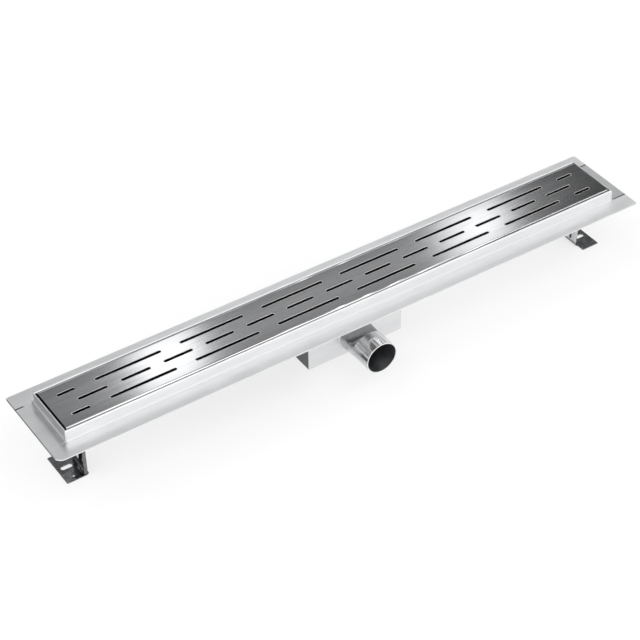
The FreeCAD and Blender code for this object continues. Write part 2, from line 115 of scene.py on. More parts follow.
def stretched(tree, vector, sizes):
    # the coordinates divided by a pattern's size along each axis
    join = tree.nodes.new("ShaderNodeCombineXYZ")
    for i, size in enumerate(sizes):
        tree.links.new(mathNode(tree, "DIVIDE", 1.0, size), join.inputs[i])
    times = tree.nodes.new("ShaderNodeVectorMath")
    times.operation = "MULTIPLY"
    tree.links.new(vector, times.inputs[0])
    tree.links.new(join.outputs[0], times.inputs[1])
    return times.outputs[0]


def noiseNode(tree, vector, detail, roughness, distortion=0.0):
    node = tree.nodes.new("ShaderNodeTexNoise")
    node.inputs["Scale"].default_value = 1.0
    node.inputs["Detail"].default_value = detail
    node.inputs["Roughness"].default_value = roughness
    node.inputs["Distortion"].default_value = distortion
    tree.links.new(vector, node.inputs["Vector"])
    return node.outputs["Fac"]


def spread(tree, value, low, high):
    # 0 below low, 1 above high, even between them
    node = tree.nodes.new("ShaderNodeMapRange")
    node.inputs["From Min"].default_value = low
    node.inputs["From Max"].default_value = high
    tree.links.new(value, node.inputs["Value"])
    return node.outputs["Result"]


grainShape = {
    "shortStroke": 0.23, "coarseWidth": 4.3, "longStroke": 3.0, "bandWidth": 17.0,
    "fineShare": 0.62, "coarseShare": 0.38, "range": (0.3, 0.7),
}


def makeGrainGroup(shape):
    # fine parallel brush lines along X: long broken strokes over a shorter, finer set
    group, source, result = newGroup(
        "brushGrain",
        [("Vector", "Vector", None), ("Stroke", "Float", 0.05), ("Width", "Float", 0.0004)],
        [("Grain", "Float"), ("Band", "Float")])
    vector = source.outputs["Vector"]
    stroke = source.outputs["Stroke"]
    width = source.outputs["Width"]
    fine = noiseNode(group, stretched(group, vector, (stroke, width, width)), 3, 0.6)
    shortStroke = product(group, stroke, shape["shortStroke"])
    coarseWidth = product(group, width, shape["coarseWidth"])
    coarse = noiseNode(group, stretched(group, vector, (shortStroke, coarseWidth, coarseWidth)), 2, 0.5)
    longStroke = product(group, stroke, shape["longStroke"])
    bandWidth = product(group, width, shape["bandWidth"])
    band = noiseNode(group, stretched(group, vector, (longStroke, bandWidth, bandWidth)), 2, 0.5)
    finePart = product(group, fine, shape["fineShare"])
    both = mathNode(group, "ADD", finePart, product(group, coarse, shape["coarseShare"]))
    group.links.new(spread(group, both, *shape["range"]), result.inputs["Grain"])
    group.links.new(spread(group, band, *shape["range"]), result.inputs["Band"])
    return group


millShape = {
    "speckShare": 0.011, "scratchTurn": (0.4, 0.3, 0.6), "scratchWidth": 0.006, "scratchLength": 0.5,
    "range": (0.3, 0.7), "scratchRange": (0.74, 0.8),
}


def makeMillGroup(shape):
    # rolled sheet: soft clouds of tone, small specks, and a few thin handling scratches
    group, source, result = newGroup(
        "millFinish",
        [("Vector", "Vector", None), ("Cloud Size", "Float", 0.05)],
        [("Cloud", "Float"), ("Speck", "Float"), ("Scratch", "Float")])
    vector = source.outputs["Vector"]
    size = source.outputs["Cloud Size"]
    cloud = noiseNode(group, stretched(group, vector, (size, size, size)), 4, 0.55, 0.4)
    fineSize = product(group, size, shape["speckShare"])
    speck = noiseNode(group, stretched(group, vector, (fineSize, fineSize, fineSize)), 2, 0.5)
    turn = group.nodes.new("ShaderNodeMapping")
    turn.inputs["Rotation"].default_value = shape["scratchTurn"]
    group.links.new(vector, turn.inputs["Vector"])
    thin = product(group, size, shape["scratchWidth"])
    long = product(group, size, shape["scratchLength"])
    scratch = noiseNode(group, stretched(group, turn.outputs[0], (long, thin, thin)), 1, 0.5)
    group.links.new(spread(group, cloud, *shape["range"]), result.inputs["Cloud"])
    group.links.new(spread(group, speck, *shape["range"]), result.inputs["Speck"])
    group.links.new(spread(group, scratch, *shape["scratchRange"]), result.inputs["Scratch"])
    return group


grainGroup = makeGrainGroup(grainShape)
millGroup = makeMillGroup(millShape)


def placeGroup(tree, group, vector, values):
    node = tree.nodes.new("ShaderNodeGroup")
    node.node_tree = group
    tree.links.new(vector, node.inputs["Vector"])
    for title, value in values.items():
        node.inputs[title].default_value = value
    return node


def mixColours(tree, share, first, second):
    node = tree.nodes.new("ShaderNodeMix")
    node.data_type = "RGBA"
    tree.links.new(share, node.inputs["Factor"])
    for socket, value in ((node.inputs[6], first), (node.inputs[7], second)):
        if isinstance(value, tuple):
            socket.default_value = (*value, 1)
        else:
            tree.links.new(value, socket)
    return node.outputs[2]


def mixValues(tree, share, first, second):
    node = tree.nodes.new("ShaderNodeMapRange")
    tree.links.new(share, node.inputs["Value"])
    for title, value in (("To Min", first), ("To Max", second)):
        if isinstance(value, (int, float)):
            node.inputs[title].default_value = value
        else:
            tree.links.new(value, node.inputs[title])
    return node.outputs["Result"]


def splitAxes(tree, vector):
    parts = tree.nodes.new("ShaderNodeSeparateXYZ")
    tree.links.new(vector, parts.inputs[0])
    return [parts.outputs[axis] for axis in "XYZ"]


def startMaterial(name):
    material = bpy.data.materials.new(name)
    material.use_nodes = True
    tree = material.node_tree
    shader = tree.nodes["Principled BSDF"]
    coordinates = tree.nodes.new("ShaderNodeTexCoord").outputs["Object"]
    return material, tree, shader, coordinates


edgeSamples = 6
bandRange = (0.2, 1.2)


def softEdges(tree, radius):
    # rounds every edge a little in the shading, as rolled and deburred sheet is
    bevel = tree.nodes.new("ShaderNodeBevel")
    bevel.samples = edgeSamples
    bevel.inputs["Radius"].default_value = radius
    return bevel.outputs["Normal"]


def bumped(tree, height, depth, normal):
    bump = tree.nodes.new("ShaderNodeBump")
    bump.inputs["Distance"].default_value = depth
    tree.links.new(height, bump.inputs["Height"])
    tree.links.new(normal, bump.inputs["Normal"])
    return bump.outputs["Normal"]


def steelMaterial(name, look):
    # brushed or rolled steel: grain and clouds drive its colour, roughness and relief
    material, tree, shader, coordinates = startMaterial(name)
    turn = tree.nodes.new("ShaderNodeMapping")
    turn.inputs["Rotation"].default_value = look.get("grainTurn", (0, 0, 0))
    tree.links.new(coordinates, turn.inputs["Vector"])
    grain = placeGroup(tree, grainGroup, turn.outputs[0], {"Stroke": look["stroke"], "Width": look["width"]})
    mill = placeGroup(tree, millGroup, coordinates, {"Cloud Size": look["cloudSize"]})
    streaked = mixColours(tree, grain.outputs["Grain"], look["dark"], look["light"])
    banded = mixColours(tree, grain.outputs["Band"], look["light"], look["dark"])
    base = mixColours(tree, spread(tree, mill.outputs["Cloud"], *bandRange), streaked, banded)
    # the masks below tint the steel by place, to match the reflections in the photograph
    # painted dark reflection on the tube's pressed top and painted highlight on its crown
    for part in ("pressed", "paintedCrownHighlight"):
        if part in look:
            across, upward = splitAxes(tree, coordinates)[1:]
            above = spread(tree, upward, *look[part]["level"])
            mask = product(tree, above, spread(tree, across, *look[part]["end"]))
            streaks = mixValues(tree, grain.outputs["Band"], *look[part]["streaks"])
            base = mixColours(tree, product(tree, mask, streaks), base, look[part]["colour"])
    # painted light on the right foot's upright
    if "upright" in look:
        upright = look["upright"]
        along, upward = splitAxes(tree, coordinates)[::2]
        mask = product(tree, spread(tree, along, *upright["place"]), spread(tree, upward, *upright["level"]))
        patchy = product(tree, mask, mixValues(tree, mill.outputs["Cloud"], *upright["patches"]))
        base = mixColours(tree, patchy, base, upright["colour"])
    # painted shade in the rim's fold and on the right end's flange, and a painted shadow on the left end's
    # edge
    if "crease" in look:
        fold, rightEnd, edge = creaseMasks(tree, coordinates, look["crease"])
        base = mixColours(tree, rightEnd, base, look["crease"]["endShadeColour"])
        base = mixColours(tree, fold, base, look["crease"]["colour"])
        base = mixColours(tree, edge, base, look["crease"]["edgeShadowColour"])
    # painted shade towards the cover's long edges, a painted highlight on its folds and painted shade in the
    # gutters
    if "flank" in look:
        flank, fold, gutter = flankMasks(tree, coordinates, look["flank"])
        base = mixColours(tree, flank, base, look["flank"]["colour"])
        base = mixColours(tree, fold, base, look["flank"]["paintedFoldShadingColour"])
        base = mixColours(tree, gutter, base, look["flank"]["gutterShadeColour"])
    # painted shade on the long sheet's inner faces
    if "inside" in look:
        base = mixColours(tree, insideMask(tree, coordinates, look["inside"]), base, look["inside"]["colour"])
        base = mixColours(tree, seamMask(tree, coordinates, look["seams"]), base, look["seams"]["colour"])
    scratched = product(tree, mill.outputs["Scratch"], look["scratches"])
    worn = mixColours(tree, scratched, base, look["bare"])
    tree.links.new(worn, shader.inputs["Base Color"])
    low, high = look["roughness"]
    rough = mixValues(tree, product(tree, mill.outputs["Cloud"], grain.outputs["Grain"]), low, high)
    tree.links.new(rough, shader.inputs["Roughness"])
    height = mathNode(tree, "ADD", product(tree, grain.outputs["Grain"], look["grainRelief"]),
                      product(tree, mill.outputs["Speck"], look["speckRelief"]))
    normal = bumped(tree, height, look["reliefDepth"], softEdges(tree, look["edgeRadius"]))
    tree.links.new(normal, shader.inputs["Normal"])
    shader.inputs["Metallic"].default_value = 1.0
    if "anisotropic" in look:
        shader.inputs["Anisotropic"].default_value = look["anisotropic"]
        along = tree.nodes.new("ShaderNodeCombineXYZ")
        for i, value in enumerate(look["spreadAlong"]):
            along.inputs[i].default_value = value
        tree.links.new(along.outputs[0], shader.inputs["Tangent"])
    return material


def flankMasks(tree, coordinates, flank):
    # painted shade that rises from the middle to both long edges, painted highlights on their folds, and
    # painted shade in the gutters beyond
    aside = mathNode(tree, "ABSOLUTE", splitAxes(tree, coordinates)[1])
    rising = product(tree, spread(tree, aside, *flank["width"]), flank["share"])
    return rising, spread(tree, aside, *flank["fold"]), spread(tree, aside, *flank["gutter"])


def seamMask(tree, coordinates, seams):
    # 1 along the open outer part of the end flanges' seams, each open corner being
    # (side along X, side along Y, start)
    along, across = splitAxes(tree, coordinates)[:2]
    aside = offFrom(tree, mathNode(tree, "ABSOLUTE", across), seams["place"])
    near = spread(tree, aside, *seams["halfWidth"])
    mask = 0.0
    for sx, sy, start in seams["open"]:
        outside = spread(tree, product(tree, along, sx), start, start + seams["fade"])
        onSide = mathNode(tree, "GREATER_THAN", product(tree, across, sy), 0.0)
        mask = mathNode(tree, "ADD", product(tree, outside, onSide), mask)
    return product(tree, near, mask)


def creaseMasks(tree, coordinates, crease):
    # painted shade, 1 in the fold between the rim's wall and the flange and on the right end's own flange,
    # and a painted shadow on the left end's edge
    along, across, upward = splitAxes(tree, coordinates)
    aside = offFrom(tree, mathNode(tree, "ABSOLUTE", across), crease["place"])
    above = offFrom(tree, upward, crease["level"])
    wide = spread(tree, aside, *crease["halfWidth"])
    fold = product(tree, wide, spread(tree, above, *crease["halfHeight"]))
    outward = mathNode(tree, "ABSOLUTE", along)
    fold = product(tree, fold, spread(tree, outward, *crease["end"]))
    endSheet = spread(tree, mathNode(tree, "ABSOLUTE", across), *crease["endSide"])
    rightEnd = product(tree, endSheet, spread(tree, along, *crease["rightEnd"]))
    return fold, rightEnd, spread(tree, along, *crease["edge"])


def insideMask(tree, coordinates, bounds):
    # painted shade, 1 on the inner faces of the long sheet: within the walls, above the floor that rises to
    # both ends
    along, across, upward = splitAxes(tree, coordinates)
    outward = mathNode(tree, "ABSOLUTE", along)
    aside = mathNode(tree, "ABSOLUTE", across)
    within = product(tree, spread(tree, aside, *bounds["width"]), spread(tree, outward, *bounds["length"]))
    rise = product(tree, spread(tree, outward, *bounds["slope"]), bounds["rise"])
    above = mathNode(tree, "SUBTRACT", mathNode(tree, "SUBTRACT", upward, rise), bounds["floor"])
    low = product(tree, within, spread(tree, upward, *bounds["top"]))
    return product(tree, low, mathNode(tree, "GREATER_THAN", above, 0.0))


def plasticMaterial(name, look):
    # moulded plastic or rubber: an even fine grain with faint clouds of tone
    material, tree, shader, coordinates = startMaterial(name)
    mill = placeGroup(tree, millGroup, coordinates, {"Cloud Size": look["cloudSize"]})
    base = mixColours(tree, mill.outputs["Cloud"], look["dark"], look["light"])
    tree.links.new(base, shader.inputs["Base Color"])
    low, high = look["roughness"]
    tree.links.new(mixValues(tree, mill.outputs["Speck"], low, high), shader.inputs["Roughness"])
    normal = bumped(tree, mill.outputs["Speck"], look["reliefDepth"], softEdges(tree, look["edgeRadius"]))
    tree.links.new(normal, shader.inputs["Normal"])
    shader.inputs["Specular IOR Level"].default_value = look["shine"]
    return material


def dress(names, material):
    for name in names:
        for slot in nodes[name].material_slots:
            slot.material = material


print("mesh helpers")


def gridFaces(rows, columns, closedRows, closedColumns):
    # the quads of a grid of points, row by row, wrapping where a direction is closed
    counts = np.arange(rows - (not closedRows)), np.arange(columns - (not closedColumns))
    r, c = np.meshgrid(*counts, indexing="ij")
    nextRow = (r + 1) % rows
    nextColumn = (c + 1) % columns
    corners = [r * columns + c, r * columns + nextColumn,
               nextRow * columns + nextColumn, nextRow * columns + c]
    return np.stack(corners, -1).reshape(-1, 4)


def gridPatch(points, closedRows=False, closedColumns=False, smooth=True, material=0):
    # points has the shape (rows, columns, 3), in millimetres
    rows, columns = points.shape[:2]
    faces = gridFaces(rows, columns, closedRows, closedColumns)
    return {"points": points.reshape(-1, 3), "faces": faces.tolist(), "smooth": smooth, "material": material}


def polygonPatch(points, material=0):
    return {"points": np.asarray(points, float), "faces": [list(range(len(points)))], "smooth": False,
            "material": material}


def insideLoop(points, loop):
    # even or odd count of the loop's edges that a ray towards +X crosses
    x, y = points[:, 0, None], points[:, 1, None]
    ax, ay = loop[None, :, 0], loop[None, :, 1]
    bx, by = np.roll(ax, -1, 1), np.roll(ay, -1, 1)
    straddles = (ay > y) != (by > y)
    with np.errstate(divide="ignore", invalid="ignore"):
        crossing = ax + (y - ay) * (bx - ax) / (by - ay)
    return (straddles & (x < crossing)).sum(1) % 2 == 1


def platePatch(outline, holes, level):
    # flat plate at the height level: its outline filled with triangles, the holes left open
    loops = [outline] + holes
    starts = np.cumsum([0] + [len(loop) for loop in loops])
    flat = np.concatenate(loops)
    edges = [(int(start + i), int(start + (i + 1) % len(loop)))
             for start, loop in zip(starts, loops) for i in range(len(loop))]
    result = delaunay_2d_cdt([Vector(point) for point in flat.tolist()], edges, [], 0, 1e-7)
    corners = np.array([tuple(point) for point in result[0]])
    triangles = np.array(result[2])
    middles = corners[triangles].mean(1)
    kept = insideLoop(middles, outline)
    for hole in holes:
        kept &= ~insideLoop(middles, hole)
    points = np.column_stack([corners, np.full(len(corners), level)])
    return {"points": points, "faces": triangles[kept].tolist(), "smooth": False, "material": 0}


def makePiece(name, patches, materials, replaced=()):
    # joins the patches into closed skins, their normals outward, that ride with the channel
    points = np.concatenate([patch["points"] for patch in patches]) * mm
    faces, smooth, material, start = [], [], [], 0
    for patch in patches:
        faces += [[start + i for i in face] for face in patch["faces"]]
        smooth += [patch["smooth"]] * len(patch["faces"])
        material += [patch["material"]] * len(patch["faces"])
        start += len(patch["points"])
    mesh = bpy.data.meshes.new(name)
    mesh.from_pydata(points.tolist(), [], faces)
    mesh.polygons.foreach_set("use_smooth", smooth)
    mesh.polygons.foreach_set("material_index", material)
    skin = bmesh.new()
    skin.from_mesh(mesh)
    bmesh.ops.remove_doubles(skin, verts=skin.verts, dist=2e-7)
    bmesh.ops.recalc_face_normals(skin, faces=skin.faces)
    loose = [edge for edge in skin.edges if len(edge.link_faces) != 2]
    if loose:
        print("open edges on", name, len(loose))
    skin.to_mesh(mesh)
    skin.free()
    for look in materials:
        mesh.materials.append(look)
    piece = bpy.data.objects.new(name, mesh)
    bpy.context.scene.collection.objects.link(piece)
    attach(piece, "channel")
    if replaced:
        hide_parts(*replaced)
    return piece


def arcPoints(centre, radius, start, end, steps):
    # points at centre + radius (cos a, sin a), from angle start to angle end in degrees
    angle = np.radians(np.linspace(start, end, steps + 1))
    return np.column_stack([centre[0] + radius * np.cos(angle), centre[1] + radius * np.sin(angle)])


beadSides = 12
pointsPerRipple = 6


def beadPatch(path, radii, ripples, depth, closed):
    # weld bead: circles of radius r (1 + depth |sin(pi k t)|) round the points of a path, t from 0 to 1
    count = len(path)
    ahead = np.roll(path, -1, 0) - np.roll(path, 1, 0)
    if not closed:
        ahead[0], ahead[-1] = path[1] - path[0], path[-1] - path[-2]
    ahead /= np.linalg.norm(ahead, axis=1)[:, None]
    helper = np.where(np.abs(ahead[:, 2:3]) > 0.9, [[1.0, 0.0, 0.0]], [[0.0, 0.0, 1.0]])
    side = np.cross(ahead, helper)
    side /= np.linalg.norm(side, axis=1)[:, None]
    lift = np.cross(side, ahead)
    t = np.linspace(0, 1, count, endpoint=not closed)
    size = 1 + depth * np.abs(np.sin(math.pi * ripples * t))
    if not closed:
        size *= np.sqrt(np.clip(np.minimum(t, 1 - t) * count / pointsPerRipple, 0, 1))
    turn = np.linspace(0, fullTurn, beadSides, endpoint=False)
    across = radii[0] * size[:, None, None] * np.cos(turn)[None, :, None] * side[:, None, :]
    above = radii[1] * size[:, None, None] * np.sin(turn)[None, :, None] * lift[:, None, :]
    return gridPatch(path[:, None, :] + across + above, closed, True)


print("cover, brushed along its length")
coverLook = {
    "stroke": 0.06, "width": 0.00035, "cloudSize": 0.05,
    "dark": (0.37, 0.375, 0.383), "light": (0.5, 0.505, 0.514), "bare": (0.62, 0.62, 0.62), "scratches": 0.25,
    "roughness": (0.11, 0.15), "grainRelief": 0.6, "speckRelief": 0.1, "reliefDepth": 0.000003,
    "edgeRadius": 0.0004, "anisotropic": 0.9, "spreadAlong": (0, 1, 0),
}
# painted shade towards the cover's long edges, a painted highlight on its folds and painted shade in the
# gutters by the rim
flankLook = {"width": (0.01, 0.026), "share": 0.4, "colour": (0.27, 0.274, 0.282),
             "fold": (0.0293, 0.0298), "paintedFoldShadingColour": (0.9, 0.9, 0.9),
             "gutter": (0.0311, 0.0314), "gutterShadeColour": (0.02, 0.02, 0.02)}
coverSteel = steelMaterial("coverSteel", {**coverLook, "flank": flankLook})
# near-black cut faces of the slots and the cover's ends: painted shade
slotEdgeLook = {
    "stroke": 0.01, "width": 0.0003, "cloudSize": 0.01,
    "dark": (0.012, 0.012, 0.013), "light": (0.03, 0.03, 0.032), "bare": (0.1, 0.1, 0.1), "scratches": 0.1,
    "roughness": (0.4, 0.55), "grainRelief": 0.5, "speckRelief": 0.4, "reliefDepth": 0.000006,
    "edgeRadius": 0.0001,
}
slotEdge = steelMaterial("slotEdge", slotEdgeLook)
# lighter rounded rims round the slots: painted highlight
slotRimLook = {
    **slotEdgeLook, "dark": (0.6, 0.604, 0.61), "light": (0.8, 0.804, 0.81), "bare": (0.9, 0.9, 0.9),
    "roughness": (0.3, 0.42),
}
slotRim = steelMaterial("slotRim", slotRimLook)
coverShape = {
    "left": -346.4, "right": 347.6, "halfWidth": 32.0, "top": 84.0, "thickness": 1.5, "skirtEnd": 76.0,
    "outerBend": 2.5, "skirtRound": 0.2, "slotRadius": 1.8, "rimWidth": 0.5, "rimFall": 0.15,
    "cutRound": 0.12, "rimSteps": 6, "bendSteps": (10, 6), "roundSteps": 3,
    "sideRows": (-16.2, 16.2), "longSlot": 77.0, "longPitch": 100.0, "longCount": 6,
    "shortSlot": 20.5, "shortPlace": 321.7, "middleSlot": 34.0, "middlePitch": 50.0, "middleCount": 13,
}


def slotPlaces(shape):
    # (x, y, length) of every slot: two outer rows of long ones with a short one at each end, and a middle row
    places = []
    for row in shape["sideRows"]:
        for i in range(shape["longCount"]):
            places.append(((i - (shape["longCount"] - 1) / 2) * shape["longPitch"], row, shape["longSlot"]))
        places += [(side * shape["shortPlace"], row, shape["shortSlot"]) for side in (-1, 1)]
    for i in range(shape["middleCount"]):
        places.append(((i - (shape["middleCount"] - 1) / 2) * shape["middlePitch"], 0.0, shape["middleSlot"]))
    return places


slotSteps = 12  # flats round each end of a slot


def slotLoop(place, radius, slotRadius):
    # closed outline of a slot: half circles round (x + h, y) and (x - h, y), h being half its straight run
    x, y, length = place
    half = length / 2 - slotRadius
    return np.concatenate([arcPoints((x + half, y), radius, -90, 90, slotSteps),
                           arcPoints((x - half, y), radius, 90, 270, slotSteps)])


def makeCover(shape):
    left, right, top = shape["left"], shape["right"], shape["top"]
    half, bend, thick = shape["halfWidth"], shape["outerBend"], shape["thickness"]
    low, r = top - thick, shape["slotRadius"]
    flat = half - bend
    outline = np.array([(left, -flat), (right, -flat), (right, flat), (left, flat)])
    places = slotPlaces(shape)
    topHoles = [slotLoop(place, r + shape["rimWidth"], r) for place in places]
    lowHoles = [slotLoop(place, r + shape["cutRound"], r) for place in places]
    patches = [platePatch(outline, topHoles, top), platePatch(outline, lowHoles, low)]
    turn = np.radians(np.linspace(0, 90, shape["rimSteps"]))
    roundTop = [(shape["rimWidth"] * (1 - math.sin(a)), top - shape["rimFall"] * (1 - math.cos(a)))
                for a in turn]
    wall = [(0.0, low + shape["cutRound"]), (shape["cutRound"], low)]
    for place in places:
        for profile, material in ((roundTop, 2), ([roundTop[-1]] + wall, 1)):
            rings = []
            for offset, level in profile:
                loop = slotLoop(place, r + offset, r)
                rings.append(np.column_stack([loop, np.full(len(loop), level)]))
            patches.append(gridPatch(np.array(rings), False, True, True, material))
    rim, skirtEnd = shape["skirtRound"], shape["skirtEnd"]
    outerSteps, innerSteps = shape["bendSteps"]
    section = np.concatenate([
        arcPoints((flat, top - bend), bend, 90, 0, outerSteps),
        arcPoints((half - rim, skirtEnd + rim), rim, 0, -90, shape["roundSteps"]),
        arcPoints((half - thick + rim, skirtEnd + rim), rim, -90, -180, shape["roundSteps"]),
        arcPoints((flat, top - bend), bend - thick, 0, 90, innerSteps)])
    for side in (-1, 1):
        rows = [np.column_stack([np.full(len(section), x), side * section[:, 0], section[:, 1]])
                for x in (left, right)]
        patches.append(gridPatch(np.array(rows)))
        patches += [polygonPatch(row, 1) for row in rows]
    for x in (left, right):
        patches.append(polygonPatch([(x, -flat, top), (x, flat, top), (x, flat, low), (x, -flat, low)], 1))
    makePiece("coverSheet", patches, [coverSteel, slotEdge, slotRim], ["cover"])


makeCover(coverShape)

print("long sheet, end walls and trap box, rolled and pickled")
sheetLook = {
    "stroke": 0.12, "width": 0.0011, "cloudSize": 0.035,
    "dark": (0.7, 0.706, 0.716), "light": (0.83, 0.836, 0.845), "bare": (0.9, 0.9, 0.9), "scratches": 0.3,
    "roughness": (0.36, 0.46), "grainRelief": 0.35, "speckRelief": 0.35, "reliefDepth": 0.000006,
    "edgeRadius": 0.0004,
}
# painted shade in the rim's fold and on the right end's flange, and a painted shadow on the left end's edge
creaseLook = {
    "place": 0.0361, "halfWidth": (0.0022, 0.0004), "level": 0.0717, "halfHeight": (0.0022, 0.0004),
    "end": (0.3525, 0.3515), "colour": (0.6, 0.604, 0.61),
    "rightEnd": (0.351, 0.3525), "endSide": (0.0351, 0.0346), "endShadeColour": (0.56, 0.566, 0.576),
    "edge": (-0.3702, -0.3706), "edgeShadowColour": (0.16, 0.16, 0.165),
}
# painted shade on the inner faces of the long sheet
insideLook = {
    "width": (0.0333, 0.0328), "length": (0.3494, 0.349), "slope": (0.075, 0.35), "rise": 0.006,
    "floor": 0.0546, "top": (0.0832, 0.0824), "colour": (0.09, 0.09, 0.094),
}
seamLook = {
    "place": 0.0348, "halfWidth": (0.0012, 0.00048), "fade": 0.002, "colour": (0.08, 0.08, 0.084),
    "open": ((-1, 1, 0.3605), (1, -1, 0.3525), (1, 1, 0.357)),
}
sheetMasks = {"inside": insideLook, "seams": seamLook, "crease": creaseLook}
sheetSteel = steelMaterial("sheetSteel", {**sheetLook, **sheetMasks})
dress(["channel_body", "end_wall_left", "end_wall_right", "end_plate_left", "end_plate_right"], sheetSteel)
trapSteelLook = {**sheetLook, "dark": (0.65, 0.654, 0.66), "light": (0.76, 0.764, 0.77)}
trapSteel = steelMaterial("trapSteel", trapSteelLook)
dress(["trap_box"], trapSteel)
# near-black bridges under the cover: painted shade, so that the slots read dark
bridgeLook = {**sheetLook, "dark": (0.03, 0.03, 0.032), "light": (0.06, 0.06, 0.063), "bare": (0.1, 0.1, 0.1)}
bridgeSteel = steelMaterial("bridgeSteel", bridgeLook)
dress(["cover_bridge_1", "cover_bridge_2", "cover_bridge_3", "cover_bridge_4"], bridgeSteel)

print("outlet tube, bright and streaky")
tubeLook = {
    "stroke": 0.03, "width": 0.0012, "cloudSize": 0.02, "grainTurn": (0, 0, math.radians(90)),
    "dark": (0.26, 0.263, 0.27), "light": (0.72, 0.725, 0.735), "bare": (0.9, 0.9, 0.9), "scratches": 0.5,
    "roughness": (0.16, 0.28), "grainRelief": 0.5, "speckRelief": 0.15, "reliefDepth": 0.000014,
    "edgeRadius": 0.0003,
}
# darker pressed top of the tube: painted dark reflection
pressedLook = {"level": (0.0405, 0.0426), "end": (-0.0545, -0.0525), "streaks": (1.0, 0.35),
               "colour": (0.27, 0.272, 0.28)}
# lighter crown of the tube: painted highlight
crownLook = {"level": (0.05, 0.055), "end": (-0.0535, -0.0575), "streaks": (1.0, 0.5),
             "colour": (0.95, 0.95, 0.95)}
tubeSteel = steelMaterial("tubeSteel", {**tubeLook, "pressed": pressedLook, "paintedCrownHighlight": crownLook})
cutLook = {
    **tubeLook, "stroke": 0.004, "dark": (0.68, 0.684, 0.69), "light": (0.82, 0.824, 0.83),
    "roughness": (0.3, 0.4),
}
cutSteel = steelMaterial("cutSteel", cutLook)
# darker bore: painted shade inside the tube
boreLook = {**tubeLook, "dark": (0.24, 0.243, 0.255), "light": (0.42, 0.424, 0.44), "roughness": (0.38, 0.5)}
boreSteel = steelMaterial("boreSteel", boreLook)
tubeShape = {
    "start": -30.0, "axis": 38.5, "halfAtTrap": 20.5, "radius": 19.0, "taperLength": 23.5, "length": 50.0,
    "flatHeight": 4.5, "archStart": 22.8, "archLength": 5.0, "archRise": 24.0, "archPower": 1.3,
    "wall": 1.2, "sharpness": 24.0, "lip": 0.35,
    "pressedEnd": 20.0, "shoulder": (20.3, 32.0), "roundStart": 33.0, "ringCounts": (21, 40, 12),
    "around": 120, "lipSteps": 8,
}


def makeOutletTube(shape):
    # section at distance s from the trap: r(a) = (R^-p + (h / sin a)^-p)^(-1/p) above the axis, where R
    # tapers from the pressed half width to the tube's radius, and h, the height of the flat top,
    # rises over the arch
    pressed, shoulder, straight = shape["ringCounts"]
    s = np.concatenate([np.linspace(0, shape["pressedEnd"], pressed),
                        np.linspace(*shape["shoulder"], shoulder),
                        np.linspace(shape["roundStart"], shape["length"] - shape["lip"], straight)])
    angle = np.linspace(0, fullTurn, shape["around"], endpoint=False)
    taper = np.clip(s / shape["taperLength"], 0, 1)
    radius = shape["halfAtTrap"] + (shape["radius"] - shape["halfAtTrap"]) * taper
    rise = np.clip((s - shape["archStart"]) / shape["archLength"], 0, 1)
    height = shape["flatHeight"] + shape["archRise"] * rise ** shape["archPower"]
    p = shape["sharpness"]

    def section(inset):
        capped = (height[:, None] - inset) / np.maximum(np.sin(angle)[None, :], 1e-3)
        return ((radius[:, None] - inset) ** -p + capped ** -p) ** (-1 / p)

    outer, inner = section(0.0), section(shape["wall"])
    lipTurn = np.radians(np.linspace(0, 180, shape["lipSteps"] + 1))[1:-1]
    lipReach = shape["lip"] * np.sin(lipTurn)
    lipShare = (1 - np.cos(lipTurn)) / 2
    lipRadius = outer[-1][None, :] + (inner[-1] - outer[-1])[None, :] * lipShare[:, None]
    distance = np.concatenate([s, s[-1] + lipReach, s[::-1]])
    rings = np.concatenate([outer, lipRadius, inner[::-1]])
    points = np.stack([rings * np.cos(angle), np.repeat(shape["start"] - distance[:, None], len(angle), 1),
                       shape["axis"] + rings * np.sin(angle)], -1)
    patch = gridPatch(points, True, True)
    body = makePiece("outletTube", [patch], [tubeSteel, cutSteel, boreSteel], ["outlet_pipe"])
    middles = np.empty(len(body.data.polygons) * 3)
    body.data.polygons.foreach_get("center", middles)
    onLip = middles.reshape(-1, 3)[:, 1] < (shape["start"] - s[-1]) * mm
    inBore = np.arange(len(onLip)) // len(angle) >= len(s) + len(lipTurn)
    body.data.polygons.foreach_set("material_index", np.where(onLip, 1, np.where(inBore, 2, 0)))


makeOutletTube(tubeShape)

print("feet and fasteners")
footLook = {
    "stroke": 0.02, "width": 0.0008, "cloudSize": 0.012,
    "dark": (0.045, 0.046, 0.05), "light": (0.28, 0.284, 0.29), "bare": (0.7, 0.7, 0.7), "scratches": 0.6,
    "roughness": (0.1, 0.24), "grainRelief": 0.4, "speckRelief": 0.15, "reliefDepth": 0.000006,
    "edgeRadius": 0.0004,
}
